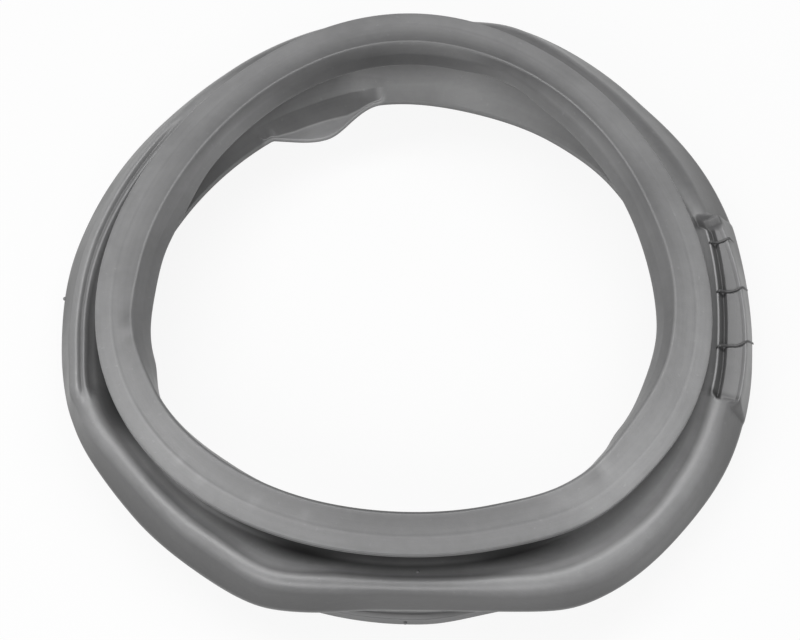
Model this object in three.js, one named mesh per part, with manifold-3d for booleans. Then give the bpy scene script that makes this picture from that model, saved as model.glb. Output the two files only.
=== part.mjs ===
// Door seal of a front-loading washing machine: one moulded rubber bellows ring.
// Millimetres and degrees, +Z up. The seal lies on its tub flange, front lip up, its low point at angle 270.
import * as THREE from 'three';
import Module from 'manifold-3d';
import { mergeVertices } from 'three/addons/utils/BufferGeometryUtils.js';

// Front lip and sealing band
const LIP_RADIUS = 172;
const LIP_HEIGHT = 85;
const LIP_EDGE = 5.4;
const LIP_ROOT = 8;
const LIP_DRAFT = 0.4;
const LIP_CORNER = 0.7;
const LIP_GROOVE_DEPTH = 0.5;
const LIP_GROOVE_WIDTH = 1.3;
const BAND_WIDTH = 22.6;
const BAND_RISE = 5.2;
const BAND_CORNER = 1.1;
const BAND_LINE_INSET = 9.5;
const BAND_LINE_DEPTH = 0.4;
const BAND_LINE_WIDTH = 2.4;

// Inner sealing lip
const INNER_LIP_REACH = 7.4;
const INNER_LIP_DROP = 13.4;
const INNER_LIP_THICKNESS = 2.4;
const INNER_LIP_CORNER = 0.9;
const INNER_LIP_ROOT = 4.1;
const INNER_LIP_ROLL = 1.6;
const ROLL_ANGLE = 40;
const ROLL_HALF_WIDTH = 70;
const ROLL_LEAST = 0.25;

// Stem and cabinet groove behind the front lip
const LIP_OVERHANG = 12.5;
const WALL = 3;
const GROOVE_DEPTH = 28;
const GROOVE_FLOOR = 8;
const GROOVE_FILLET = 3.5;
const STEM_TOP = 6.2;

// Bellows fold
const CREST_REACH = 18.5;
const CREST_DEPTH = 20;
const CREST_ROUND = 5;
const INNER_CREST_DROP = 3.8;
const FOLD_REACH = 15;
const FOLD_DEPTH = 45;
const FOLD_ROUND = 9;
const FOLD_FILLET = 5;
const UNDERSIDE_DEPTH = 59;
const UNDERSIDE_INSET = 6;
const CONE_TOP_INSET = 10.5;
const CONE_TOP_RISE = 2;

// Tub flange
const RIM_INSET = 5.4;
const TUB_RIM_HEIGHT = 3.8;
const RIM_BEVEL = 0.7;
const RIM_WIDTH = 5;
const TUB_GROOVE_WIDTH = 3.2;
const TUB_GROOVE_DEPTH = 4.2;
const FLANGE_WIDTH = 4.7;
const FLANGE_HEIGHT = 8;
const CLAMP_SEAT_INSET = 3;
const CLAMP_SEAT_RISE = 1.6;

// Plan of the bellows: how far the flats at the bottom and top cut into the fold and the crest
const BOTTOM_ANGLE = 270;
const FOLD_BOTTOM_CUT = 13.6;
const CREST_BOTTOM_CUT = 4.5;
const TOP_ANGLE = 90;
const FOLD_TOP_CUT = 5;
const CREST_TOP_CUT = 2.2;
const FLAT_BLEND = 1.6;
const FOLD_BOTTOM_BLEND = 2.6;

// Fuller and hollower places of the plan, each as [middle angle, half width, change of radius]
const LIP_CHANGES = [[90, 32, 2.5], [304, 18, 2.4]];
const BAND_EDGE_CHANGES = [[90, 26, 1], [306, 18, 2.4], [206, 14, -0.6], [252, 14, 0.7]];
const INNER_LIP_CHANGES = [[2, 26, -1.8], [167, 26, -3], [182, 12, -0.8], [229, 22, -3.1], [336, 14, -1.6]];
const CREST_UPPER_CHANGES = [[72, 20, 5], [118, 26, 0.9], [182, 16, -1], [202, 11, 3.4]];
const CREST_LOWER_CHANGES = [[217, 16, -4], [247, 14, 5], [302, 30, 12]];
const FOLD_CORNER_CHANGES = [[2, 12, 1.4], [22, 24, 8.8], [43, 24, 6.7], [66, 24, 7], [118, 26, 0.9]];
const FOLD_LEFT_CHANGES = [[150, 26, 2], [188, 20, -3.6], [216, 30, -7], [236, 16, -2.1], [252, 9, 1.2]];
const FOLD_RIGHT_CHANGES = [[290, 8, -3.6], [302, 22, 2.2], [319, 16, -1]];
const POCKET_RIDGE_CHANGES = [[24, 36, 7.8]];
const RIM_CHANGES = [[44, 14, 1.4], [76, 22, -2.4]];
const FLANGE_CHANGES = [[285, 13, -2.2]];

// Part of the ring where the inner lip hangs straight down under the band
const STRAIGHT_LIP_START = 210;
const STRAIGHT_LIP_END = 311;
const STRAIGHT_LIP_BLEND = 11;
const STRAIGHT_LIP_RETREAT = 6;

// The soft ring's three-lobed set, less at the tub flange, which has also slipped a little to the right
const OUT_OF_ROUND = 5.6;
const OUT_OF_ROUND_ANGLE = 86;
const LOBES = 3;
const TUB_ROUNDNESS = 0.6;
const TUB_SHIFT = 3;

// Lock pocket on the right of the bellows: a ridge, a slot, a flat floor and a rim
const POCKET_START = -20;
const POCKET_END = 15;
const POCKET_BLEND = 2;
const RIDGE_INSET = 8;
const RIDGE_HALF_WIDTH = 0.9;
const RIDGE_RISE = 2.4;
const RIDGE_SLOPE = 0.8;
const SLOT_REACH = 3.6;
const SLOT_WIDTH = 2.4;
const SLOT_DEPTH = 3.5;
const SLOT_FLANK = 1.2;
const POCKET_DEPTH = 22.5;
const POCKET_RIM_REACH = 8.2;
const POCKET_RIM_RISE = 0.6;
const POCKET_RIM_ROUND = 0.8;
const POCKET_WALL = 4;
const POCKET_CEILING_DROP = 5.9;

// Thin ribs across the lock pocket, which end just outside its rim
const RIB_ANGLES = [-9.5, 0.9, 10.8];
const RIB_THICKNESS = 1.2;
const RIB_HEIGHT = 1;
const RIB_REACH = 3;

// Left of the bellows: a rounded outer crest, a shallow valley and a narrow inner ridge
const SHELF_START = 128;
const SHELF_END = 202;
const SHELF_BLEND = 12;
const SHELF_INSET = 4.8;
const SHELF_DROP = 1.4;
const SHELF_HALF_WIDTH = 0.8;
const SHELF_FLANK = 2.4;
const VALLEY_DROP = 2.4;
const SHOULDER_WIDTH = 4.4;
const SHOULDER_DROP = 5;

// Small moulding pips on the fold, in the groove and on the flange's edge
const PIP_SIZE = 1.2;
const PIP_SINK = 0.9;
const FOLD_PIP_ANGLE = 177.5;
const FOLD_PIP_RISE = 1.5;
const GROOVE_PIP_ANGLE = 272.2;
const GROOVE_PIP_SHARE = 0.35;
const FLANGE_PIP_ANGLE = 269;
const FLANGE_PIP_HEIGHT = 3.4;

// Deflector tongue that reaches in from the tub rim, with a dished face above it
const TONGUE_START = 96;
const TONGUE_PEAK = 109.5;
const TONGUE_END = 121.2;
const TONGUE_REACH = 15.7;
const TONGUE_THICKNESS = 3.2;
const DISH_WIDTH = 8.4;
const DISH_FOOT = 1;
const DISH_FOOT_SHIFT = 3;
const DISH_FLANK = 0.35;

// Mesh resolution
const COARSE_STEP = 5;
const FINE_STEP = 2.5;

// Radii and heights that follow from the sizes above
const STEM_RADIUS = LIP_RADIUS - LIP_OVERHANG;
const CREST_RADIUS = STEM_RADIUS + GROOVE_FLOOR + CREST_REACH;
const FOLD_RADIUS = CREST_RADIUS + FOLD_REACH;
const RIM_RADIUS = LIP_RADIUS - RIM_INSET;
const TUB_GROOVE_RADIUS = RIM_RADIUS + RIM_WIDTH;
const FLANGE_RADIUS = TUB_GROOVE_RADIUS + TUB_GROOVE_WIDTH + FLANGE_WIDTH;
const POCKET_RIM_RADIUS = CREST_RADIUS + POCKET_RIM_REACH;
const GROOVE_HEIGHT = LIP_HEIGHT - GROOVE_DEPTH;
const CREST_HEIGHT = LIP_HEIGHT - CREST_DEPTH;
const FOLD_HEIGHT = LIP_HEIGHT - FOLD_DEPTH;
const UNDERSIDE_HEIGHT = LIP_HEIGHT - UNDERSIDE_DEPTH;
const POCKET_HEIGHT = LIP_HEIGHT - POCKET_DEPTH;

const radians = THREE.MathUtils.degToRad;
const smooth = THREE.MathUtils.smoothstep;
const mix = THREE.MathUtils.lerp;
const at = (radius, height) => new THREE.Vector2(radius, height);

// Foot of the slope that rises from the cabinet groove to the crest.
const slopeFoot = at(STEM_RADIUS + GROOVE_FLOOR, GROOVE_HEIGHT);

// Signed difference of two angles, from -180 to 180.
function turn(angle, centre) {
  return THREE.MathUtils.euclideanModulo(angle - centre + 180, 360) - 180;
}

// Raised cosine of height 1 about a centre angle, zero beyond its half width.
function bulge(angle, centre, halfWidth) {
  const share = Math.min(Math.abs(turn(angle, centre)) / halfWidth, 1);
  return (1 + Math.cos(Math.PI * share)) / 2;
}

// 1 between two angles, falling smoothly to 0 over the blend outside them.
function window(angle, start, end, blend) {
  const middle = (start + end) / 2;
  const beyond = Math.abs(turn(angle, middle)) - (end - start) / 2;
  return 1 - smooth(beyond, 0, blend);
}

// Radius of a straight flat at a distance from the axis, up to 60 degrees from its middle.
function flat(angle, centre, distance) {
  const away = Math.min(Math.abs(turn(angle, centre)), 60);
  return distance / Math.cos(radians(away));
}

// Smaller of two radii, with a soft change from one to the other.
function softMin(first, second, blend) {
  const gap = (second - first) / blend;
  return first - blend * Math.log1p(Math.exp(-Math.abs(gap))) + Math.min(gap, 0) * blend;
}

// Radius in plan: a circle with its fuller and hollower places.
function plan(angle, radius, changes) {
  const add = (sum, [middle, halfWidth, change]) => sum + change * bulge(angle, middle, halfWidth);
  return changes.reduce(add, radius);
}

// Crest radius in plan, cut by the two flats.
function crestRadius(angle) {
  const round = plan(angle, CREST_RADIUS, [...CREST_UPPER_CHANGES, ...CREST_LOWER_CHANGES]);
  const bottom = flat(angle, BOTTOM_ANGLE, CREST_RADIUS - CREST_BOTTOM_CUT);
  const top = flat(angle, TOP_ANGLE, CREST_RADIUS - CREST_TOP_CUT);
  return softMin(softMin(round, bottom, FLAT_BLEND), top, FLAT_BLEND);
}

// Radius of the outermost fold in plan, cut by the two flats.
function foldRadius(angle) {
  const changes = [...FOLD_CORNER_CHANGES, ...FOLD_LEFT_CHANGES, ...FOLD_RIGHT_CHANGES];
  const round = plan(angle, FOLD_RADIUS, changes);
  const bottom = flat(angle, BOTTOM_ANGLE, FOLD_RADIUS - FOLD_BOTTOM_CUT);
  const top = flat(angle, TOP_ANGLE, FOLD_RADIUS - FOLD_TOP_CUT);
  return softMin(softMin(round, bottom, FOLD_BOTTOM_BLEND), top, FLAT_BLEND);
}

// Radius of the lock pocket's inner ridge in plan.
function ridgeRadius(angle) {
  return plan(angle, CREST_RADIUS - RIDGE_INSET, POCKET_RIDGE_CHANGES);
}

// How far the tongue reaches in from the tub rim: straight on one flank, S-shaped on the other.
function tongue(angle) {
  if (angle < TONGUE_PEAK) {
    return TONGUE_REACH * smooth(angle, TONGUE_START, TONGUE_PEAK);
  }
  const flank = THREE.MathUtils.clamp((TONGUE_END - angle) / (TONGUE_END - TONGUE_PEAK), 0, 1);
  return TONGUE_REACH * Math.sin((Math.PI / 2) * flank);
}

// Corner rounded to a circular arc, as steps + 1 points. With no steps the corner stays sharp.
function roundCorner(before, corner, after, radius, steps) {
  if (steps === 0) {
    return [corner];
  }
  const back = before.clone().sub(corner);
  const ahead = after.clone().sub(corner);
  const half = Math.acos(THREE.MathUtils.clamp(back.dot(ahead) / (back.length() * ahead.length()), -1, 1)) / 2;
  const reach = Math.min(radius / Math.tan(half), 0.48 * Math.min(back.length(), ahead.length()));
  const start = corner.clone().addScaledVector(back.normalize(), reach);
  const end = corner.clone().addScaledVector(ahead.normalize(), reach);
  const weight = Math.sin(half);
  return Array.from({ length: steps + 1 }, (_, i) => {
    const t = i / steps;
    const shares = [(1 - t) ** 2, 2 * t * (1 - t) * weight, t ** 2];
    const point = start.clone().multiplyScalar(shares[0]);
    point.addScaledVector(corner, shares[1]).addScaledVector(end, shares[2]);
    return point.divideScalar(shares[0] + shares[1] + shares[2]);
  });
}

// Top of the bellows from its outer wall to its inner slope, as seven points in each of its three forms.
function crestLine(angle, foldCorner) {
  const crest = crestRadius(angle);
  const round = roundCorner(foldCorner, at(crest, CREST_HEIGHT + 1), slopeFoot, CREST_ROUND, 6);
  const ridge = crest - SHELF_INSET;
  const step = CREST_HEIGHT - SHELF_DROP;
  const shelf = [
    at(crest + SHOULDER_WIDTH, CREST_HEIGHT - SHOULDER_DROP),
    at(crest + SHOULDER_WIDTH / 2, CREST_HEIGHT - SHOULDER_DROP / 4),
    at(crest, CREST_HEIGHT),
    at((ridge + crest) / 2, CREST_HEIGHT - VALLEY_DROP),
    at(ridge + SHELF_HALF_WIDTH, step),
    at(ridge - SHELF_HALF_WIDTH, step),
    at(ridge - 2 * SHELF_HALF_WIDTH, step - SHELF_FLANK),
  ];
  const pocketRidge = ridgeRadius(angle);
  const ridgeHeight = POCKET_HEIGHT + RIDGE_RISE;
  const slotInner = pocketRidge + SLOT_REACH - SLOT_WIDTH / 2;
  const slotOuter = slotInner + SLOT_WIDTH;
  const pocket = [
    at(POCKET_RIM_RADIUS + POCKET_RIM_ROUND, POCKET_HEIGHT - POCKET_RIM_ROUND / 2),
    at(POCKET_RIM_RADIUS - POCKET_RIM_ROUND, POCKET_HEIGHT + POCKET_RIM_RISE),
    at(slotOuter + SLOT_FLANK, POCKET_HEIGHT),
    at(slotOuter, POCKET_HEIGHT - SLOT_DEPTH),
    at(slotInner, POCKET_HEIGHT - SLOT_DEPTH),
    at(pocketRidge + RIDGE_HALF_WIDTH, ridgeHeight),
    at(pocketRidge - RIDGE_HALF_WIDTH, ridgeHeight - RIDGE_SLOPE),
  ];
  const shelfShare = window(angle, SHELF_START, SHELF_END, SHELF_BLEND);
  const pocketShare = window(angle, POCKET_START, POCKET_END, POCKET_BLEND);
  return round.map((point, i) => point.lerp(shelf[i], shelfShare).lerp(pocket[i], pocketShare));
}

// The seal's section at one angle: a closed outline of corners, each as [point, radius, steps].
function section(angle) {
  const pocketShare = window(angle, POCKET_START, POCKET_END, POCKET_BLEND);
  const fold = foldRadius(angle);
  const foldCorner = at(fold, FOLD_HEIGHT);

  // Front lip, sealing band and inner lip
  const lip = plan(angle, LIP_RADIUS, LIP_CHANGES);
  const bandEdge = plan(angle, LIP_RADIUS - BAND_WIDTH, BAND_EDGE_CHANGES);
  const straight = window(angle, STRAIGHT_LIP_START, STRAIGHT_LIP_END, STRAIGHT_LIP_BLEND);
  const hanging = plan(angle, LIP_RADIUS - BAND_WIDTH - INNER_LIP_REACH, INNER_LIP_CHANGES);
  const innerLip = hanging + STRAIGHT_LIP_RETREAT * straight;
  const bandTop = LIP_HEIGHT + BAND_RISE;
  const band = (radius) => LIP_HEIGHT + (lip - radius) * BAND_RISE / (lip - bandEdge);
  const line = lip - BAND_LINE_INSET;
  const lineOuter = line + BAND_LINE_WIDTH / 2;
  const lineInner = line - BAND_LINE_WIDTH / 2;
  const lipFoot = bandTop - INNER_LIP_DROP;
  const roll = INNER_LIP_ROLL * mix(ROLL_LEAST, 1, bulge(angle, ROLL_ANGLE, ROLL_HALF_WIDTH));
  const edgeGroove = LIP_HEIGHT - LIP_EDGE / 2;
  const front = [
    [at(lip, edgeGroove - LIP_GROOVE_WIDTH / 2), 0, 0],
    [at(lip - LIP_GROOVE_DEPTH, edgeGroove), 0, 0],
    [at(lip, edgeGroove + LIP_GROOVE_WIDTH / 2), 0, 0],
    [at(lip, LIP_HEIGHT), LIP_CORNER, 1],
    [at(lineOuter, band(lineOuter)), 0, 0],
    [at(line, band(line) - BAND_LINE_DEPTH), 0, 0],
    [at(lineInner, band(lineInner)), 0, 0],
    [at(bandEdge, bandTop), BAND_CORNER, 1],
    [at((bandEdge + innerLip) / 2 - roll, (bandTop + lipFoot + roll) / 2), 0, 0],
    [at(innerLip, lipFoot), INNER_LIP_CORNER, 1],
    [at(innerLip + INNER_LIP_THICKNESS, lipFoot - INNER_LIP_CORNER), INNER_LIP_CORNER, 1],
    [at(bandEdge + INNER_LIP_THICKNESS, bandTop - INNER_LIP_ROOT), INNER_LIP_CORNER, 1],
  ];

  // Inside of the stem and the bellows
  const stemInner = STEM_RADIUS - WALL;
  const crestCeiling = at(crestRadius(angle) - 1, CREST_HEIGHT - INNER_CREST_DROP);
  const pocketCeiling = at(POCKET_RIM_RADIUS - POCKET_WALL, POCKET_HEIGHT - POCKET_CEILING_DROP);
  const coneTop = at(fold - CONE_TOP_INSET, UNDERSIDE_HEIGHT + CONE_TOP_RISE);
  const inside = [
    [at(stemInner, bandTop - STEM_TOP), BAND_CORNER, 1],
    [at(stemInner, GROOVE_HEIGHT - WALL), FOLD_FILLET, 2],
    [at(slopeFoot.x - 1, GROOVE_HEIGHT - WALL), 0, 0],
    [crestCeiling.lerp(pocketCeiling, pocketShare), FOLD_FILLET, 2],
    [at(fold - WALL, FOLD_HEIGHT), FOLD_ROUND - WALL, 3],
    [coneTop, FOLD_FILLET, 1],
  ];

  // Tub rim with the tongue, tub groove and flange
  const reach = tongue(angle);
  const dish = (reach / TONGUE_REACH) ** DISH_FLANK;
  const rim = plan(angle, RIM_RADIUS, RIM_CHANGES);
  const rimTop = at(rim + RIM_BEVEL, TUB_RIM_HEIGHT);
  const cone = (radius) => mix(rimTop.y, coneTop.y, (radius - rimTop.x) / (coneTop.x - rimTop.x));
  const tongueTop = mix(rimTop.y, TONGUE_THICKNESS, dish);
  const dishTop = RIM_RADIUS + DISH_WIDTH;
  const dishFoot = RIM_RADIUS + DISH_FOOT;
  const plainFoot = at(dishFoot + DISH_FOOT_SHIFT, cone(dishFoot + DISH_FOOT_SHIFT));
  const grooveOuter = TUB_GROOVE_RADIUS + TUB_GROOVE_WIDTH;
  const flange = plan(angle, FLANGE_RADIUS, FLANGE_CHANGES);
  const tub = [
    [at(dishTop, cone(dishTop)), 0, 0],
    [plainFoot.lerp(at(dishFoot, tongueTop), dish), 0, 0],
    [at(rimTop.x - reach, tongueTop), RIM_BEVEL, 1],
    [at(rim - reach, 0), 0, 0],
    [at(TUB_GROOVE_RADIUS, 0), 0, 0],
    [at(TUB_GROOVE_RADIUS, TUB_GROOVE_DEPTH), 0, 0],
    [at(grooveOuter, TUB_GROOVE_DEPTH), 0, 0],
    [at(grooveOuter, 0), 0, 0],
    [at(flange, 0), 0, 0],
    [at(flange, FLANGE_HEIGHT), RIM_BEVEL, 1],
    [at(flange - CLAMP_SEAT_INSET, FLANGE_HEIGHT + CLAMP_SEAT_RISE), RIM_BEVEL, 1],
  ];

  // Outside of the bellows, the stem and the back of the front lip
  const outside = [
    [at(fold - UNDERSIDE_INSET, UNDERSIDE_HEIGHT), FOLD_FILLET, 2],
    [foldCorner, FOLD_ROUND, 4],
    ...crestLine(angle, foldCorner).map((point) => [point, 0, 0]),
    [slopeFoot, FOLD_FILLET, 2],
    [at(STEM_RADIUS, GROOVE_HEIGHT), GROOVE_FILLET, 1],
    [at(STEM_RADIUS, LIP_HEIGHT - LIP_ROOT), BAND_CORNER, 1],
    [at(lip - LIP_DRAFT, LIP_HEIGHT - LIP_EDGE), LIP_CORNER, 1],
  ];

  const corners = [...front, ...inside, ...tub, ...outside];
  const count = corners.length;
  return corners.flatMap(([corner, radius, steps], i) => {
    const before = corners[(i + count - 1) % count][0];
    const after = corners[(i + 1) % count][0];
    return roundCorner(before, corner, after, radius, steps);
  });
}

// Change of radius of the ring's three-lobed set.
function lobe(angle) {
  return OUT_OF_ROUND * Math.cos(radians(LOBES * (angle - OUT_OF_ROUND_ANGLE)));
}

// Place in space of a section point: the ring is a little out of round, less so at the tub flange.
function place(angle, point) {
  const stiffness = mix(TUB_ROUNDNESS, 1, smooth(point.y, 0, LIP_HEIGHT / 2));
  const radius = point.x + lobe(angle) * stiffness;
  const aside = mix(TUB_SHIFT, 0, smooth(point.y, 0, LIP_HEIGHT / 2));
  return [radius * Math.cos(radians(angle)) + aside, radius * Math.sin(radians(angle)), point.y];
}

// Angles of the sections: close together over the tongue and the pocket, further apart elsewhere.
function sectionAngles() {
  const angles = [];
  let angle = POCKET_START - 2 * POCKET_BLEND;
  const last = angle + 360;
  while (angle < last - FINE_STEP / 2) {
    angles.push(angle);
    const inPocket = angle < POCKET_END + POCKET_BLEND;
    const inTongue = angle > TONGUE_START - COARSE_STEP && angle < TONGUE_END;
    angle += inPocket || inTongue ? FINE_STEP : COARSE_STEP;
  }
  return angles;
}

// Closed skin through the sections, its faces pointing out.
function ringGeometry() {
  const angles = sectionAngles();
  const sections = angles.map(section);
  const across = sections[0].length;
  const positions = sections.flatMap((points, i) => points.flatMap((point) => place(angles[i], point)));
  const indices = [];
  for (let i = 0; i < angles.length; i += 1) {
    const row = i * across;
    const nextRow = ((i + 1) % angles.length) * across;
    for (let j = 0; j < across; j += 1) {
      const next = (j + 1) % across;
      indices.push(row + j, nextRow + j, nextRow + next);
      indices.push(row + j, nextRow + next, row + next);
    }
  }
  const geometry = new THREE.BufferGeometry();
  geometry.setAttribute('position', new THREE.Float32BufferAttribute(positions, 3));
  geometry.setIndex(indices);
  return geometry;
}

// Thin rib that crosses the lock pocket from its ridge to just outside its rim.
function ribGeometry(angle) {
  const ridge = ridgeRadius(angle);
  const inWall = POCKET_HEIGHT - WALL / 2;
  const end = POCKET_RIM_RADIUS + RIB_REACH;
  const outline = new THREE.Shape([
    at(ridge, POCKET_HEIGHT + RIB_HEIGHT / 2),
    at(POCKET_RIM_RADIUS - WALL, inWall),
    at(POCKET_RIM_RADIUS, POCKET_HEIGHT - WALL),
    at(end, POCKET_HEIGHT - WALL),
    at(end, inWall),
    at(POCKET_RIM_RADIUS, POCKET_HEIGHT + POCKET_RIM_RISE + RIB_HEIGHT),
    at(ridge + SLOT_REACH, POCKET_HEIGHT + RIB_HEIGHT),
    at(ridge, POCKET_HEIGHT + RIDGE_RISE + RIB_HEIGHT),
  ]);
  const geometry = new THREE.ExtrudeGeometry(outline, { depth: RIB_THICKNESS, bevelEnabled: false });
  geometry.translate(0, 0, -RIB_THICKNESS / 2);
  geometry.rotateX(Math.PI / 2);
  geometry.translate(lobe(angle), 0, 0);
  geometry.rotateZ(radians(angle));
  return geometry;
}

// Small rounded moulding pip, partly sunk in the wall it stands on.
function pipGeometry([angle, wallPoint]) {
  const geometry = new THREE.SphereGeometry(PIP_SIZE, 10, 6);
  geometry.translate(...place(angle, wallPoint));
  return geometry;
}

// The three pips, each as [angle, point of the section].
function pips() {
  const fold = at(foldRadius(FOLD_PIP_ANGLE) - PIP_SINK, FOLD_HEIGHT + FOLD_PIP_RISE);
  const crest = at(crestRadius(GROOVE_PIP_ANGLE), CREST_HEIGHT);
  const flange = at(plan(FLANGE_PIP_ANGLE, FLANGE_RADIUS, FLANGE_CHANGES), FLANGE_PIP_HEIGHT);
  return [
    [FOLD_PIP_ANGLE, fold],
    [GROOVE_PIP_ANGLE, slopeFoot.clone().lerp(crest, GROOVE_PIP_SHARE)],
    [FLANGE_PIP_ANGLE, flange],
  ];
}

const wasm = await Module();
wasm.setup();

// Closed three.js geometry as a solid that can be joined.
function toSolid(geometry) {
  geometry.deleteAttribute('normal');
  geometry.deleteAttribute('uv');
  const merged = mergeVertices(geometry);
  const vertProperties = new Float32Array(merged.attributes.position.array);
  const triVerts = new Uint32Array(merged.index.array);
  return new wasm.Manifold(new wasm.Mesh({ numProp: 3, vertProperties, triVerts }));
}

// Solid as a three.js geometry.
function toGeometry(solid) {
  const mesh = solid.getMesh();
  const geometry = new THREE.BufferGeometry();
  geometry.setAttribute('position', new THREE.BufferAttribute(mesh.vertProperties, 3));
  geometry.setIndex(new THREE.BufferAttribute(mesh.triVerts, 1));
  return geometry.toNonIndexed();
}

// The moulded ring with its ribs, in one piece of grey rubber
function doorSeal() {
  const ring = toSolid(ringGeometry());
  const additions = [...RIB_ANGLES.map(ribGeometry), ...pips().map(pipGeometry)];
  const moulding = additions.reduce((body, addition) => body.add(toSolid(addition)), ring);
  const geometry = toGeometry(moulding);
  geometry.computeVertexNormals();
  const rubber = new THREE.MeshStandardMaterial({ color: 0x7d7d7e, roughness: 0.5, metalness: 0 });
  const mesh = new THREE.Mesh(geometry, rubber);
  mesh.name = 'door_seal';
  return mesh;
}

// Stood on its tub flange, with its footprint centred on the origin
const seal = new THREE.Group();
seal.add(doorSeal());
const footprint = new THREE.Box3().setFromObject(seal).getCenter(new THREE.Vector3());
seal.position.set(-footprint.x, -footprint.y, 0);

export default seal;
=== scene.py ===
import bpy
import numpy as np
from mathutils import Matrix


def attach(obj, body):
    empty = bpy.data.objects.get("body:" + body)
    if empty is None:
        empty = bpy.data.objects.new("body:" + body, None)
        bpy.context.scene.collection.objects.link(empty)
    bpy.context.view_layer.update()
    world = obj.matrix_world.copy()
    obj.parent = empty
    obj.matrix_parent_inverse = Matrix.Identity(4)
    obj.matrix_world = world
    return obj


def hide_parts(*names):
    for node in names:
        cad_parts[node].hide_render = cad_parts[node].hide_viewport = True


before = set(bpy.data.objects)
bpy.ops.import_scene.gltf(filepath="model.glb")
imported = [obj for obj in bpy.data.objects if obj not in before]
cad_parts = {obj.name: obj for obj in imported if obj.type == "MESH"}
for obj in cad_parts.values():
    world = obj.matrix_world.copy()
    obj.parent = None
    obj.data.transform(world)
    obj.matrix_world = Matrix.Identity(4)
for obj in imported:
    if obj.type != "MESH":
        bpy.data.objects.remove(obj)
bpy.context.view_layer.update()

# The seal is one rubber moulding, pressed in a steel mould. Its section runs round the ring's axis
# as a closed outline of radius and height for every angle, in millimetres and degrees.
POCKET_START, POCKET_END = -20.0, 16.4
TONGUE_START, TONGUE_PEAK, TONGUE_END = 96.0, 109.5, 121.2

# The sections stand a degree apart, and closer over the tongue, the pocket and the pocket's ends.
whole_turn = np.arange(-25.0, 335.0, 1.0)
finer = np.arange(-24.5, 20.0, 1.0)
tongue_extra = np.arange(TONGUE_START - 2.0, TONGUE_END + 2.0, 1.0) + 0.5
ends = np.concatenate([np.arange(-21.8, -18.2, 0.2), np.arange(11.8, 18.4, 0.2)])
angles = np.unique(np.round(np.concatenate([whole_turn, finer, tongue_extra, ends]), 2))


def smooth(value, low, high):
    """Cubic step: 0 below low, 1 above high, 3t^2 - 2t^3 between them."""
    t = np.clip((value - low) / (high - low), 0.0, 1.0)
    return t * t * (3.0 - 2.0 * t)


def mix(first, second, share):
    """Straight blend: first where share is 0, second where it is 1."""
    return first + (second - first) * share


def turn(angle, centre):
    """Signed difference of two angles in degrees, from -180 to 180."""
    return np.mod(angle - centre + 180.0, 360.0) - 180.0


def bulge(angle, centre, half_width):
    """Raised cosine of height 1 at centre, zero beyond half_width on both sides."""
    share = np.minimum(np.abs(turn(angle, centre)) / half_width, 1.0)
    return (1.0 + np.cos(np.pi * share)) / 2.0


def window(angle, start, end, blend):
    """1 between two angles, falling by a cubic step to 0 over blend degrees outside them."""
    beyond = np.abs(turn(angle, (start + end) / 2.0)) - (end - start) / 2.0
    return 1.0 - smooth(beyond, 0.0, blend)


def plan(radius, changes):
    """Radius in plan: a circle plus a raised cosine for each fuller or hollower place."""
    return radius + sum(amount * bulge(angles, middle, half_width) for middle, half_width, amount in changes)


LOBE_CHANGE, LOBE_ANGLE = 5.6, 86.0


def lobe(angle):
    """Change of radius of the ring's three-lobed set: a cosine of three times the angle from a lobe."""
    return LOBE_CHANGE * np.cos(np.radians(3.0 * (angle - LOBE_ANGLE)))


def cut_flat(radius, centre, distance, blend):
    """Radius cut by a flat that is straight after the set, its corners rounded by a log of exponentials."""
    straight = distance / np.maximum(np.cos(np.radians(turn(angles, centre))), 0.5) - lobe(angles)
    return -blend * np.logaddexp(-radius / blend, -straight / blend)


def at(radius, height):
    """Point of the section for every angle, as one row of [radius, height] each."""
    return np.stack(np.broadcast_arrays(radius + 0.0 * angles, height + 0.0 * angles), axis=-1)


def round_corner(before, corner, after, radius, steps):
    """Exact circular arc between two tangent points, as a rational quadratic of steps + 1 points."""
    if steps == 0:
        return corner[None]
    back = before - corner
    ahead = after - corner
    back_length = np.linalg.norm(back, axis=-1, keepdims=True)
    ahead_length = np.linalg.norm(ahead, axis=-1, keepdims=True)
    cosine = np.sum(back * ahead, axis=-1, keepdims=True) / (back_length * ahead_length)
    half = np.arccos(np.clip(cosine, -1.0, 1.0)) / 2.0
    reach = np.clip(radius / np.tan(half), 0.2, 0.48 * np.minimum(back_length, ahead_length))
    start = corner + back / back_length * reach
    end = corner + ahead / ahead_length * reach
    t = np.linspace(0.0, 1.0, steps + 1)[:, None, None]
    middle = 2.0 * t * (1.0 - t) * np.sin(half)
    total = (1.0 - t) ** 2 + middle + t ** 2
    return ((1.0 - t) ** 2 * start + middle * corner + t ** 2 * end) / total


def join_outline(corners):
    """Closed outline through corners of [point, arc radius, arc steps, points on the straight, tone].

    The third column is the tone: each corner's own, blended straight between neighbours.
    """
    count = len(corners)
    rows = []
    for i, (corner, radius, steps, fill, tone) in enumerate(corners):
        following = corners[(i + 1) % count]
        after, after_radius, after_steps = following[:3]
        beyond = corners[(i + 2) % count][0]
        arc = round_corner(corners[i - 1][0], corner, after, radius, steps)
        start, end = arc[-1], round_corner(corner, after, beyond, after_radius, after_steps)[0]
        share = np.arange(1, fill + 1)[:, None, None] / (fill + 1.0)
        points = np.concatenate([arc, mix(start, end, share)])
        blends = np.concatenate([np.zeros((len(arc), 1)), share[..., 0]])
        tones = mix(tone + 0.0 * angles, following[4] + 0.0 * angles, blends)
        rows.append(np.concatenate([points, tones[..., None]], axis=-1))
    return np.concatenate(rows).swapaxes(0, 1)


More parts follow.
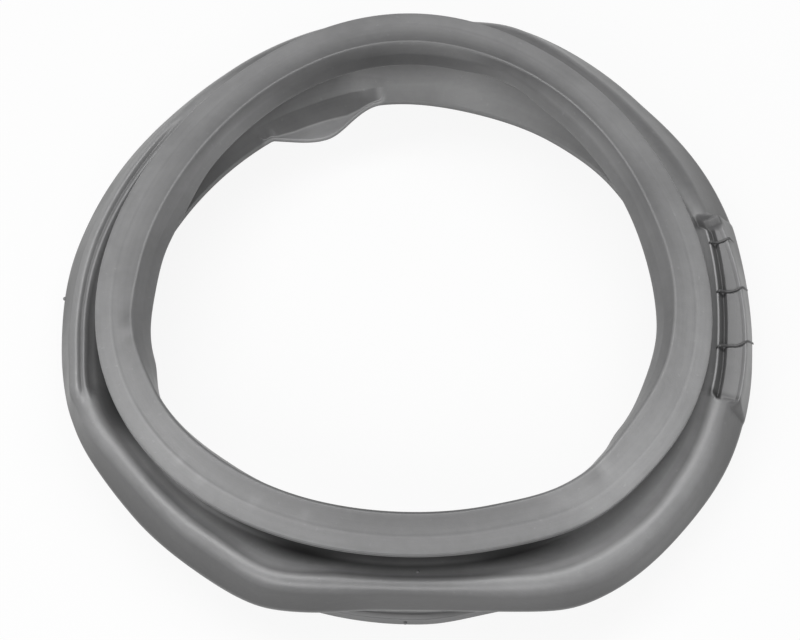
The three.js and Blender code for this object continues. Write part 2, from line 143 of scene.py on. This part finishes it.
# Front lip and sealing band: a broad flat band that rises inwards, pressed against the door's glass,
# with a shallow line round it. The lip's edge seats in front of the cabinet's round opening.
LIP_RADIUS, LIP_HEIGHT = 172.0, 85.0
BAND_WIDTH, BAND_RISE = 22.6, 5.18
LINE_INSET, LINE_HALF_WIDTH = 9.5, 1.2
EDGE_GROOVE_DROP, EDGE_GROOVE_HALF_WIDTH, EDGE_GROOVE_DEPTH = 2.7, 0.65, 0.5
lip = plan(LIP_RADIUS, ((90, 32, 2.5), (304, 18, 2.4)))
band_edge = plan(LIP_RADIUS - BAND_WIDTH, (
    (90, 26, 1.0), (36, 44, 2.6), (0, 20, 1.4), (326, 16, -2.2), (304, 16, 2.4), (193, 15, 2.0),
))
band_top = LIP_HEIGHT + BAND_RISE
line = lip - LINE_INSET
edge_groove = LIP_HEIGHT - EDGE_GROOVE_DROP


def band(radius):
    """Height of the sealing band's straight slope at a radius."""
    return LIP_HEIGHT + (lip - radius) * BAND_RISE / (lip - band_edge)


line_depth = 0.08 + 0.16 * bulge(angles, 205, 50) - 0.05 * bulge(angles, 90, 60)
# The front's tones are painted shade in the lip's edge groove, along the band's line and on the band's inner
# edge along the top, where it faces away from the light.
front = [
    (at(lip, edge_groove - EDGE_GROOVE_HALF_WIDTH), 0.4, 1, 0, 0.8),
    (at(lip - EDGE_GROOVE_DEPTH, edge_groove), 0.4, 1, 0, 0.7),
    (at(lip, edge_groove + EDGE_GROOVE_HALF_WIDTH), 0.4, 1, 0, 0.9),
    (at(lip, LIP_HEIGHT), 1.0, 4, 3, 1.1),
    (at(line + LINE_HALF_WIDTH, band(line + LINE_HALF_WIDTH)), 0.8, 1, 0, 1.08),
    (at(line, band(line) - line_depth), 0.8, 1, 0, 1.02),
    (at(line - LINE_HALF_WIDTH, band(line - LINE_HALF_WIDTH)), 0.8, 1, 4, 1.04),
    (at(band_edge, band_top), 2.0, 6, 2, 0.86 - 0.3 * bulge(angles, 75, 100)),
]

# Inner sealing lip: a thin soft tongue of rubber that hangs under the band's inner edge. It bulges
# inwards at the upper right, and hangs straight down along the low side.
INNER_LIP_RADIUS, INNER_LIP_DROP, INNER_LIP_THICKNESS = 142.0, 13.4, 2.4
lip_foot = band_top - INNER_LIP_DROP
retreat = 6.0 * window(angles, 210.0, 311.0, 11.0)
inner_lip = plan(INNER_LIP_RADIUS, (
    (2, 26, -1.8), (66, 13, 3.5), (167, 26, -3), (158, 14, -0.8),
    (184, 14, -1.8), (229, 22, -3.9), (313, 5, -1.4), (336, 14, -1.6),
)) + retreat
roll = 1.6 * mix(0.25, 1.0, bulge(angles, 40, 70))
# The inner lip's tones are painted light and shade: painted shade on its wall along the top, painted light on
# it at the upper right and upper left, and painted shade on its back faces.
wall_tone = 0.86 - 0.44 * bulge(angles, 94, 46) + 0.1 * bulge(angles, 42, 26) + 0.3 * bulge(angles, 142, 30)
hanging = [
    (at((band_edge + inner_lip) / 2 - roll, (band_top + lip_foot) / 2 + roll / 2), 9.0, 6, 2, wall_tone),
    (at(inner_lip, lip_foot), 0.9, 3, 0, wall_tone),
    (at(inner_lip + INNER_LIP_THICKNESS, lip_foot - 0.9), 0.9, 2, 1, 0.35),
    (at(band_edge + INNER_LIP_THICKNESS, band_top - 4.1), 0.8, 1, 0, 0.4),
]

# Bellows: a stem behind the lip, a groove for the cabinet's edge, then a fold of thinner wall that
# flexes with the tub. A lock pocket is sunk in its right side and a narrow shelf runs on its left.
STEM_RADIUS, CREST_RADIUS, FOLD_RADIUS, WALL = 159.5, 186.0, 201.0, 3.0
LOW_SIDE, TOP_SIDE = 269.2, 90.0
POCKET_RIM_RADIUS, POCKET_FOOT_RADIUS, POCKET_RIDGE_RADIUS = 194.2, 191.8, 178.0
groove_floor = LIP_HEIGHT - 28.0
slope_foot = at(STEM_RADIUS + 8.0, groove_floor)
crest_top = LIP_HEIGHT - 20.0
crest = plan(CREST_RADIUS, (
    (72, 20, 5), (118, 26, 0.9), (182, 16, -1), (202, 11, 3.4),
    (219, 17, -3.2), (247, 14, 6), (306, 37, 11.3),
))
crest = cut_flat(cut_flat(crest, LOW_SIDE, 178.6, 1.6), TOP_SIDE, 189.3, 1.6)
fold = plan(FOLD_RADIUS, (
    (2, 12, 1.4), (22, 24, 8.8), (43, 24, 6.7), (66, 24, 7), (118, 26, 0.9), (150, 26, 2),
    (188, 20, -3.6), (216, 30, -7), (236, 16, -2.1), (252, 9, 1.2), (302, 22, 2.2), (319, 16, -1),
))
fold = cut_flat(cut_flat(fold, LOW_SIDE, 182.0, 2.6), TOP_SIDE, 201.2, 1.6)
fold = plan(fold, ((254, 12, 2.0),))
fold_corner = at(fold, LIP_HEIGHT - 45.0)
underside = LIP_HEIGHT - 59.0

pocket_floor = LIP_HEIGHT - 22.5
pocket_ridge = plan(POCKET_RIDGE_RADIUS, ((24, 36, 7.8),))
slot = pocket_ridge + 3.6
shelf_ridge = plan(180.6, ((200, 12, 2.8), (160, 30, 0.6)))
upper_side = window(angles, 30.0, 118.0, 16.0)
crest_round = (8.0 + 5.0 * bulge(angles, 322, 46) + 6.0 * upper_side)[:, None]

# The crest has one of four forms, each a list of [point, arc radius, arc steps] from the outer wall
# inwards. The shares say how much of a form each section has.
CREST_POINTS = 19
shelf_share = (window(angles, 140.0, 197.6, 3.4) * smooth(angles, 128.0, 152.0))[:, None]
pocket_share = (
    smooth(angles, POCKET_START - 0.7, POCKET_START + 0.3)
    * (1.0 - smooth(angles, POCKET_END - 0.3, POCKET_END + 0.9))
)[:, None]
hollow_share = smooth(angles, 13.2, 14.8)[:, None]
crest_forms = (
    [(at(crest, crest_top + 1.0), crest_round, 18)],
    [
        (at(crest + 4.6, crest_top - 4.4), 6.0, 4),
        (at(crest, crest_top + 1.3), 4.6, 4),
        (at((crest + shelf_ridge) / 2 - 0.3, crest_top - 1.9), 1.2, 3),
        (at(shelf_ridge, crest_top - 1.0), 1.0, 2),
        (at(shelf_ridge - 2.0, crest_top - 4.6), 1.0, 1),
    ],
    [
        (at(POCKET_RIM_RADIUS, pocket_floor + 1.6), 0.9, 4),
        (at(POCKET_FOOT_RADIUS, pocket_floor + 0.2), 0.6, 2),
        (at(slot + 1.6, pocket_floor), 0.6, 2),
        (at(slot + 0.2, pocket_floor - 3.6), 0.6, 2),
        (at(pocket_ridge, pocket_floor + 2.6), 1.1, 4),
    ],
    [
        (at(195.5, pocket_floor - 0.4), 1.2, 4),
        (at(193.0, pocket_floor - 1.6), 0.7, 2),
        (at(190.0, pocket_floor - 2.8), 0.7, 2),
        (at(186.0, pocket_floor - 2.8), 0.7, 2),
        (at(181.5, pocket_floor + 0.6), 1.1, 4),
    ],
)


def crest_line(form):
    """Top of the bellows from its outer wall to its inner slope, as CREST_POINTS points of one form."""
    places = [fold_corner] + [corner for corner, radius, steps in form] + [slope_foot]
    arcs = [
        round_corner(places[i], corner, places[i + 2], radius, steps)
        for i, (corner, radius, steps) in enumerate(form)
    ]
    return np.concatenate(arcs)


plain, shelf, pocket, hollow = (crest_line(form) for form in crest_forms)
crest_points = mix(mix(plain, shelf, shelf_share), mix(pocket, hollow, hollow_share), pocket_share)
inner_crest = mix(at(crest - 1.0, crest_top - 4.6), at(190.2, pocket_floor - 5.9), pocket_share)
ledge = mix(mix(crest_points[-1], slope_foot, 0.4), at(pocket_ridge - 5.0, pocket_floor - 1.0), pocket_share)
# The inside faces of the bellows are painted dark: painted shade in the hollow.
inside = [
    (at(STEM_RADIUS - WALL, band_top - 6.2), 1.6, 1, 0, 0.4),
    (at(STEM_RADIUS - WALL, groove_floor - WALL), 5.0, 3, 0, 0.45),
    (slope_foot + [-1.0, -WALL], 5.0, 1, 0, 0.5),
    (inner_crest, 5.0, 3, 0, 0.5),
    (fold_corner + [-WALL, 0.0], 6.0, 4, 0, 0.4),
    (at(fold - 10.5, underside + 2.0), 4.0, 3, 3, 0.25),
]

# Tones of the bellows, painted light and shade: painted light on the sides that catch it, painted
# shade in the gap under the lip and along the left side, and for each form of the crest one tone for
# each of its points, with painted highlights on its crest and ridges and painted shade in its slots,
# hollows and outer wall.
lit_side = bulge(angles, 225, 26) + bulge(angles, 320, 34)
gap_side = bulge(angles, 250, 15) + bulge(angles, 293, 17)
left_side = window(angles, 150.0, 204.0, 12.0)
pocket_tones = np.array([
    0.8, 1.2, 1.4, 1.3, 1.0, 0.85, 0.8, 0.8, 0.85, 0.8, 0.6, 0.4, 0.35, 0.4, 0.7, 1.4, 2.0, 1.6, 0.8,
])
hollow_tones = np.linspace(0.8, 0.6, CREST_POINTS)
pocket_paint = mix(pocket_tones[:, None], hollow_tones[:, None], hollow_share[:, 0])
shelf_tones = np.array([
    0.5, 0.55, 0.65, 0.8, 1.0, 1.2, 1.35, 1.35, 1.25, 1.1, 0.85, 0.7, 0.65, 0.8, 1.1, 1.2, 1.0, 0.6, 0.45,
])
plain_tones = mix(0.5 + 0.8 * np.sin(np.linspace(0.1, 2.5, CREST_POINTS))[:, None], 0.85, upper_side)
plain_tones = plain_tones * (1.0 - 0.24 * bulge(angles, 266, 44))
crest_tones = mix(mix(plain_tones, shelf_tones[:, None], shelf_share[:, 0]), pocket_paint, pocket_share[:, 0])
# The outer wall is painted darker towards the fold, a little less along the top: painted shade.
fold_tone = 0.38 + 0.14 * bulge(angles, 90, 70)
# Under the crest the ledge and slope take painted light on the lit sides and painted shade in the gap and on
# the left, and the groove and stem under the lip are painted dark: painted shade.
outside = (
    [(at(fold - 6.0, underside), 5.0, 4, 1, 0.75), (fold_corner, 9.0, 14, 3, fold_tone)]
    + [(point, 0.0, 0, 0, tone) for point, tone in zip(crest_points, crest_tones)]
    + [
        (mix(crest_points[-1], ledge, 0.5), 0.0, 0, 0, 1.25 - 0.75 * left_side),
        (ledge, 0.6, 1, 2, 1.3 + 0.3 * lit_side - 0.95 * left_side),
        (slope_foot, 5.0, 4, 1, 0.62 + 1.0 * lit_side - 0.48 * gap_side - 0.45 * left_side),
        (at(STEM_RADIUS, groove_floor), 3.5, 3, 1, 0.3),
        (at(STEM_RADIUS, LIP_HEIGHT - 8.0), 1.5, 3, 1, 0.3),
        (at(lip - 0.4, LIP_HEIGHT - 5.4), 0.9, 3, 0, 0.7),
    ]
)

# Tub flange: a stiffer foot with a groove for the tub's rim, a seat for the clamp ring, and a
# deflector tongue at the upper left that reaches into the opening under a dished face.
RIM_RADIUS, FLANGE_RADIUS, RIM_TOP, FLANGE_TOP = 166.6, 179.5, 3.8, 8.0
TUB_GROOVE_INNER, TUB_GROOVE_OUTER, TUB_GROOVE_DEPTH = 171.6, 174.8, 4.2
TONGUE_REACH, TONGUE_THICKNESS = 15.7, 3.2
rim = plan(RIM_RADIUS, ((44, 14, 1.4), (76, 22, -2.4)))
flange = plan(FLANGE_RADIUS, ((285, 13, -2.2),))
rise = smooth(angles, TONGUE_START, TONGUE_PEAK)
fall = np.sin(np.pi / 2.0 * np.clip((TONGUE_END - angles) / (TONGUE_END - TONGUE_PEAK), 0.0, 1.0))
tongue = TONGUE_REACH * np.where(angles < TONGUE_PEAK, rise, fall)
tongue_top = mix(RIM_TOP, TONGUE_THICKNESS, np.clip(tongue / TONGUE_REACH, 0.0, 1.0) ** 0.35)


def cone(radius):
    """Height of the straight inner face between the tub rim and the fold at a radius."""
    return mix(RIM_TOP, underside + 2.0, (radius - rim - 0.7) / (fold - 10.5 - rim - 0.7))


# The tub flange's tones are painted light and shade: painted light on the inner cone along the far side and
# on the dish's back wall, facet and tongue tip, and painted shade under the flange's edge.
far_side = bulge(angles, 95, 95)
in_dish = window(angles, 96.4, 122.8, 1.2)
dish_top = np.interp(angles, (95.5, 111.0, 124.2), (172.7, 172.7, 174.1))
dish_foot = np.interp(
    angles, (95.5, 97.2, 103.9, 116.3, 122.3, 124.2), (170.4, 166.6, 160.8, 163.3, 167.7, 171.6)
)
dish_foot = np.maximum(dish_foot, rim + 1.6 - tongue)
upper = at(dish_top, cone(dish_top))
lower = at(dish_foot, mix(cone(dish_foot), 3.5, in_dish))
cone_tone = 0.85 + 0.75 * far_side
back_tone = mix(cone_tone, 1.3, in_dish) + 0.7 * bulge(angles, 96.2, 1.2)
facet_tone = mix(cone_tone, 3.2, in_dish)
tub = [
    (mix(upper, lower, -0.1), 0.0, 0, 0, cone_tone),
    (upper, 0.4, 1, 2, back_tone),
    (mix(upper, lower, 0.9), 0.0, 0, 0, back_tone),
    (lower, 0.4, 1, 3, facet_tone),
    (at(rim + 0.7 - tongue, tongue_top), 0.6, 3, 0, mix(1.1 + 0.5 * far_side, 2.8, in_dish)),
    (at(rim - tongue, 0.0), 0.3, 1, 1, 0.9),
    (at(TUB_GROOVE_INNER, 0.0), 0.3, 1, 0, 0.9),
    (at(TUB_GROOVE_INNER, TUB_GROOVE_DEPTH), 0.5, 1, 0, 0.9),
    (at(TUB_GROOVE_OUTER, TUB_GROOVE_DEPTH), 0.5, 1, 0, 0.9),
    (at(TUB_GROOVE_OUTER, 0.0), 0.3, 1, 0, 0.9),
    (at(flange, 0.0), 0.4, 2, 1, 0.28),
    (at(flange, FLANGE_TOP), 0.8, 3, 0, 0.9),
    (at(flange - 3.0, FLANGE_TOP + 1.6), 1.0, 2, 1, 0.5),
]
profile = join_outline(front + hanging + inside + tub + outside)


AXIS = np.array([-0.46, -8.47, 0.0])
FLANGE_SLIP, FLANGE_SET = 3.0, 0.6


def place(angle, radius, height):
    """Point in space: the three-lobed set is added to the radius, less at the slipped tub flange."""
    softness = smooth(height, 0.0, LIP_HEIGHT / 2.0)
    real = radius + lobe(angle) * mix(FLANGE_SET, 1.0, softness)
    aside = FLANGE_SLIP * (1.0 - softness)
    turned = np.radians(angle)
    return AXIS + np.stack([real * np.cos(turned) + aside, real * np.sin(turned), height], axis=-1)


skin = place(angles[:, None], profile[..., 0], profile[..., 1])
rows, across = profile.shape[:2]
here = np.arange(rows * across).reshape(rows, across)
ahead = np.roll(here, -1, axis=0)
faces = np.stack([here, ahead, np.roll(ahead, -1, axis=1), np.roll(here, -1, axis=1)], axis=-1).reshape(-1, 4)

# Grey EPDM rubber with a satin moulded skin: a fine grain, faint streaks that run round the ring,
# and a slightly uneven bloom. Tone, painted on each piece, scales the grey: besides the bloom it holds
# painted light and shade, with painted highlights on crests and ridges and painted shade in gaps,
# hollows and creases.
RUBBER_GREY = (0.21, 0.21, 0.212)
rubber = bpy.data.materials.new("grey_rubber")
rubber.use_nodes = True


class Value:
    """Output socket of a material's node tree, with arithmetic: each operator adds one Math node."""

    def __init__(self, tree, socket):
        self.tree, self.socket = tree, socket

    def math(self, operation, other=None, third=None):
        """Math node of this value with one or two others, in that order."""
        return add(self.tree, "ShaderNodeMath", "Value", {"operation": operation}, (self, other, third))

    def __add__(self, other):
        return self.math("ADD", other)

    def __sub__(self, other):
        return self.math("SUBTRACT", other)

    def __rsub__(self, other):
        return self.math("MULTIPLY_ADD", -1.0, other)

    def __mul__(self, other):
        return self.math("MULTIPLY", other)

    __radd__ = __add__
    __rmul__ = __mul__


def add(tree, kind, output, settings, inputs):
    """New node: its settings, then its inputs in order or by name, each a Value, a constant or None."""
    node = tree.nodes.new(kind)
    for name, setting in settings.items():
        setattr(node, name, setting)
    for entry, value in (inputs.items() if isinstance(inputs, dict) else enumerate(inputs)):
        if isinstance(value, Value):
            tree.links.new(value.socket, node.inputs[entry])
        elif value is not None:
            node.inputs[entry].default_value = value
    return Value(tree, node.outputs[output])


def attribute(name):
    """The number painted on the vertices under this name."""
    return add(rubber.node_tree, "ShaderNodeAttribute", "Fac", {"attribute_name": name}, ())


def noise(vector, scale, detail, roughness):
    """Fractal noise from 0 to 1, mostly near 0.5."""
    inputs = {"Vector": vector, "Scale": scale, "Detail": detail, "Roughness": roughness}
    return add(rubber.node_tree, "ShaderNodeTexNoise", "Fac", {}, inputs)


def ramp(value, low, high, to_low, to_high):
    """Smooth step of a value between low and high, mapped to two other levels."""
    inputs = {"Value": value, 1: low, 2: high, 3: to_low, 4: to_high}
    settings = {"interpolation_type": "SMOOTHSTEP"}
    return add(rubber.node_tree, "ShaderNodeMapRange", "Result", settings, inputs)


position = add(rubber.node_tree, "ShaderNodeTexCoord", "Object", {}, ())
along_streaks = (attribute("around") * 14.0, attribute("over") * 420.0, 0.0)
streak_place = add(rubber.node_tree, "ShaderNodeCombineXYZ", "Vector", {}, along_streaks)
grain = noise(position, 1500.0, 2.0, 0.5)
cloud = noise(position, 28.0, 4.0, 0.6)
fleck = noise(position, 190.0, 3.0, 0.6)
streak = noise(streak_place, 1.0, 3.0, 0.55)
speck = ramp(noise(position, 330.0, 2.0, 0.5), 0.68, 0.76, 0.0, 0.12)
level = attribute("tone") * (
    ramp(cloud, 0.3, 0.7, 0.94, 1.06) + (streak - 0.5) * 0.16 + (fleck - 0.5) * 0.16 + speck
)
channels = tuple(level * share for share in RUBBER_GREY)
base = add(rubber.node_tree, "ShaderNodeCombineColor", "Color", {}, channels)
surface = ramp(cloud, 0.3, 0.7, 0.33, 0.42) + (streak - 0.5) * 0.12
relief = grain * 0.00004 + fleck * 0.00006 + streak * 0.00004
bump_inputs = {"Strength": 1.0, "Distance": 1.0, "Height": relief}
bumped = add(rubber.node_tree, "ShaderNodeBump", "Normal", {}, bump_inputs)
shader = rubber.node_tree.nodes["Principled BSDF"]
rubber.node_tree.links.new(base.socket, shader.inputs["Base Color"])
rubber.node_tree.links.new(surface.socket, shader.inputs["Roughness"])
rubber.node_tree.links.new(bumped.socket, shader.inputs["Normal"])
shader.inputs["Specular IOR Level"].default_value = 0.5


def rubber_piece(name, vertices, quads, tone, around=0.0, over=0.0):
    """Piece of the moulding, at the origin, from vertices in millimetres and rows of four indices.

    Tone, around and over are one number for each vertex, or one for the whole piece.
    """
    mesh = bpy.data.meshes.new(name)
    mesh.vertices.add(len(vertices))
    mesh.vertices.foreach_set("co", (vertices / 1000.0).astype(np.float32).ravel())
    mesh.loops.add(quads.size)
    mesh.loops.foreach_set("vertex_index", quads.astype(np.int32).ravel())
    mesh.polygons.add(len(quads))
    mesh.polygons.foreach_set("loop_start", np.arange(0, quads.size, 4, dtype=np.int32))
    mesh.polygons.foreach_set("use_smooth", np.ones(len(quads), dtype=bool))
    mesh.update(calc_edges=True)
    mesh.validate()
    for layer_name, values in (("tone", tone), ("around", around), ("over", over)):
        layer = mesh.attributes.new(layer_name, "FLOAT", "POINT")
        layer.data.foreach_set("value", np.broadcast_to(values, len(mesh.vertices)).astype(np.float32))
    mesh.materials.append(rubber)
    piece = bpy.data.objects.new(name, mesh)
    bpy.context.scene.collection.objects.link(piece)
    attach(piece, "root")
    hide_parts("door_seal")


# The moulding itself: the closed skin through all the sections. Around and over give the place along
# the ring and over the section, in metres, for the streaks that its mould leaves.
step_lengths = np.linalg.norm(np.diff(profile[..., :2], axis=1, prepend=profile[:, :1, :2]), axis=-1)
over = np.cumsum(step_lengths, axis=1)
around = np.broadcast_to(np.radians(angles)[:, None] * LIP_RADIUS, over.shape)
radius, height, tone = profile[..., 0], profile[..., 1], profile[..., 2]

# A paler line under 2 mm wide is painted along the low side's outer wall: a painted highlight.
EDGE_HIGHLIGHT_HEIGHT = 35.0
on_outer_wall = window(angles, 236.0, 304.0, 6.0)[:, None] * (radius > fold[:, None] - 5.0)
painted_edge_highlight = on_outer_wall * np.exp(-(height - EDGE_HIGHLIGHT_HEIGHT) ** 2)

# Patches of paler or darker tone on the band: middle angle, reach in degrees, place across the band
# from its outer edge, width there, and change of tone. The wide ones, those at the band's bends from
# 295 to 318 degrees and those at its fold near 190 degrees are painted light and shade; the narrow
# marks from 222 to 250 degrees are chalky bloom.
across_band = (lip[:, None] - radius) / (lip - band_edge)[:, None]
on_band = (height > LIP_HEIGHT - 0.5) * (across_band < 1.02)
patches = sum(
    amount * np.exp(-(turn(angles, middle)[:, None] / reach) ** 2 - ((across_band - share) / width) ** 2)
    for middle, reach, share, width, amount in (
        (313.0, 13.0, 0.5, 0.9, 0.34), (266.0, 28.0, 0.6, 0.9, -0.26), (345.0, 18.0, 0.5, 0.9, 0.18),
        (301.0, 3.2, 0.75, 0.25, 0.16), (312.3, 1.2, 0.8, 0.2, 0.3), (309.4, 1.7, 0.75, 0.35, -0.18),
        (190.2, 2.2, 0.85, 0.2, -0.2), (193.6, 0.9, 0.85, 0.2, 0.16), (222.9, 0.8, 0.4, 0.12, 0.2),
        (228.3, 0.9, 0.35, 0.12, 0.2), (239.5, 1.1, 0.5, 0.16, 0.16), (249.8, 1.1, 0.6, 0.14, 0.14),
        (295.0, 2.4, 0.6, 0.3, 0.08), (42.0, 16.0, 0.8, 0.35, 0.2), (318.0, 2.6, 0.3, 0.3, -0.07),
        (182.0, 20.0, 0.5, 0.9, 0.06),
    )
)

# Painted shade in the creases at the two ends of the pocket.
on_pocket = (height > pocket_floor - 5.0) * (radius > 176.0) * (radius < 197.0)
painted_crease_shade = on_pocket * (0.45 * bulge(angles, POCKET_START + 0.3, 1.2) + 0.4 * bulge(angles, 15.2, 1.8))[:, None]
tone = (tone + 0.35 * painted_edge_highlight + on_band * patches) * (1.0 - painted_crease_shade)
rubber_piece(
    "seal_moulding", skin.reshape(-1, 3), faces, tone.ravel(), around.ravel() / 1000.0, over.ravel() / 1000.0
)

# Cross ribs of the lock pocket: three thin cords of rubber moulded across it from its ridge over its
# rim, each a little crooked and standing slightly proud of the bellows' outline.
RIB_END, RIB_SIDES = 198.7, 10
RIB_PLACES = ((-9.5, 1.3, 0.12), (0.9, 0.9, 0.065), (10.8, 0.5, 0.03))

# Places along a rib from the ridge outwards, scaled to end at RIB_END, and its heights over the floor.
along = np.array([-1.2, -0.6, 1.2, 2.8, 4.6, 7.0, 9.5, 12.0, 14.4, 16.2, 17.8, 20.2])
lift = pocket_floor + np.array([1.6, 2.6, 3.1, 1.6, 0.8, 0.7, 0.8, 1.2, 1.6, 1.0, -0.9, -4.2])
order = np.argsort(turn(angles, 0.0))
around_rib = np.linspace(0.0, 2.0 * np.pi, RIB_SIDES, endpoint=False)
ring = np.stack([0.0 * around_rib, np.cos(around_rib), np.sin(around_rib)], axis=-1)
index = np.arange(len(along) * RIB_SIDES).reshape(len(along), RIB_SIDES)
sides = np.stack([index[:-1], np.roll(index, -1, 1)[:-1], np.roll(index, -1, 1)[1:], index[1:]], axis=-1)
caps = np.array([[0, 1, 2, 3], [0, 3, 4, 5], [0, 5, 6, 7], [0, 7, 8, 9]])
quads = np.concatenate([sides.reshape(-1, 4), caps[:, ::-1], caps + index[-1, 0]])
for number, (rib_angle, sway, tilt) in enumerate(RIB_PLACES):
    ridge = np.interp(rib_angle, turn(angles, 0.0)[order], pocket_ridge[order])
    reach = ridge + along * (RIB_END - ridge) / along[-1]
    crook = 0.16 * sway * np.sin((reach - POCKET_RIDGE_RADIUS) * 0.42) + tilt * (reach - 190.0)
    spine = place(rib_angle + crook, reach, lift)
    width = 0.7 + 0.22 * np.sin(reach * 0.9 + number) ** 2
    width[[0, -1]] *= 0.85
    web = spine[:, None] + width[:, None, None] * ring
    # The cords are painted at half tone: painted shade.
    rubber_piece("pocket_rib_" + "abc"[number], web.reshape(-1, 3), quads, tone=0.5)

# Moulding pips: small rounded beads where the rubber was vented, on the fold, in the groove and on
# the flange's edge.
PIP_RADIUS = 1.1
PIP_PLACES = ((177.5, 198.4, 41.5), (272.2, 172.4, 59.4), (269.0, 179.6, 3.4))
turns = np.linspace(0.0, 2.0 * np.pi, 24, endpoint=False)
lifts = np.linspace(-0.5, 0.5, 13)[:, None] * np.pi
ball = np.stack(
    np.broadcast_arrays(np.cos(lifts) * np.cos(turns), np.cos(lifts) * np.sin(turns), np.sin(lifts)), axis=-1
)
index = np.arange(ball[..., 0].size).reshape(ball.shape[:2])
ball_faces = np.stack(
    [index[:-1], np.roll(index, -1, 1)[:-1], np.roll(index, -1, 1)[1:], index[1:]], axis=-1
).reshape(-1, 4)
for number, (angle, radius, height) in enumerate(PIP_PLACES):
    bead = place(angle, radius, height) + PIP_RADIUS * ball
    rubber_piece("moulding_pip_" + "abc"[number], bead.reshape(-1, 3), ball_faces, tone=0.9)

# The floor is a plain pale sheet. It shows mostly its own white, with a tenth of the light and shadow
# that fall on it, and lights the seal from below as pale paper does.
FLOOR_HALF_SIZE, OWN_WHITE = 3, 0.9
floor_mesh = bpy.data.meshes.new("floor")
corner_signs = ((-1, -1), (1, -1), (1, 1), (-1, 1))
floor_corners = [(x * FLOOR_HALF_SIZE, y * FLOOR_HALF_SIZE, 0) for x, y in corner_signs]
floor_mesh.from_pydata(floor_corners, [], [(0, 1, 2, 3)])
floor = bpy.data.objects.new("floor", floor_mesh)
bpy.context.scene.collection.objects.link(floor)
paper = bpy.data.materials.new("paper")
paper.use_nodes = True
sheet = paper.node_tree.nodes["Principled BSDF"]
sheet.inputs["Base Color"].default_value = (0.8, 0.8, 0.8, 1)
sheet.inputs["Roughness"].default_value = 0.9
camera_ray, glossy_ray, transmission_ray = (
    add(paper.node_tree, "ShaderNodeLightPath", ray, {}, ())
    for ray in ("Is Camera Ray", "Is Glossy Ray", "Is Transmission Ray")
)
seen = camera_ray.math("MAXIMUM", glossy_ray).math("MAXIMUM", transmission_ray)
white = add(paper.node_tree, "ShaderNodeEmission", "Emission", {}, {"Strength": 1.0})
lit_sheet = Value(paper.node_tree, sheet.outputs["BSDF"])
shown = add(paper.node_tree, "ShaderNodeMixShader", "Shader", {}, (seen * OWN_WHITE, lit_sheet, white))
paper.node_tree.links.new(shown.socket, paper.node_tree.nodes["Material Output"].inputs["Surface"])
floor_mesh.materials.append(paper)

# Soft studio light: a weak even surround, a long narrow panel overhead that draws the highlights
# along the crest, a small one above the middle, and one on the low side that reaches under the lip.
world = bpy.data.worlds.new("studio")
bpy.context.scene.world = world
world.use_nodes = True
world.node_tree.nodes["Background"].inputs["Color"].default_value = (1, 1, 1, 1)
world.node_tree.nodes["Background"].inputs["Strength"].default_value = 0.14


def panel(name, location, width, height, watts):
    """Rectangular area lamp that points at the middle of the seal."""
    data = bpy.data.lights.new(name, "AREA")
    data.shape = "RECTANGLE"
    data.size, data.size_y, data.energy = width, height, watts
    lamp = bpy.data.objects.new(name, data)
    lamp.location = location
    aim = np.array([0.0, 0.0, 0.04]) - np.array(location)
    flat_length = np.hypot(aim[0], aim[1])
    lamp.rotation_euler = (np.arctan2(flat_length, -aim[2]), 0.0, np.arctan2(-aim[0], aim[1]))
    bpy.context.scene.collection.objects.link(lamp)


panel("overhead", (-0.1, 0.4, 1.8), 2.2, 0.4, 23.5)
panel("above", (0.0, -0.15, 2.0), 1.0, 0.6, 4.0)
panel("camera_side", (-0.4, -1.3, 1.25), 1.5, 0.8, 15.0)

# The camera looks down on the seal from its low side, at 63 degrees and from 1.2 m.
CAMERA_ELEVATION, CAMERA_DISTANCE = np.radians(63.0), 1.2
camera_data = bpy.data.cameras.new("camera")
camera_data.lens = 96.8
camera = bpy.data.objects.new("camera", camera_data)
bpy.context.scene.collection.objects.link(camera)
target = (AXIS + [-3.1, -27.4, LIP_HEIGHT]) / 1000.0
away = np.array([0.0, -np.cos(CAMERA_ELEVATION), np.sin(CAMERA_ELEVATION)])
camera.location = target + CAMERA_DISTANCE * away
camera.rotation_euler = (np.pi / 2.0 - CAMERA_ELEVATION, 0.0, 0.0)
bpy.context.scene.camera = camera
bpy.context.scene.view_settings.view_transform = "Standard"
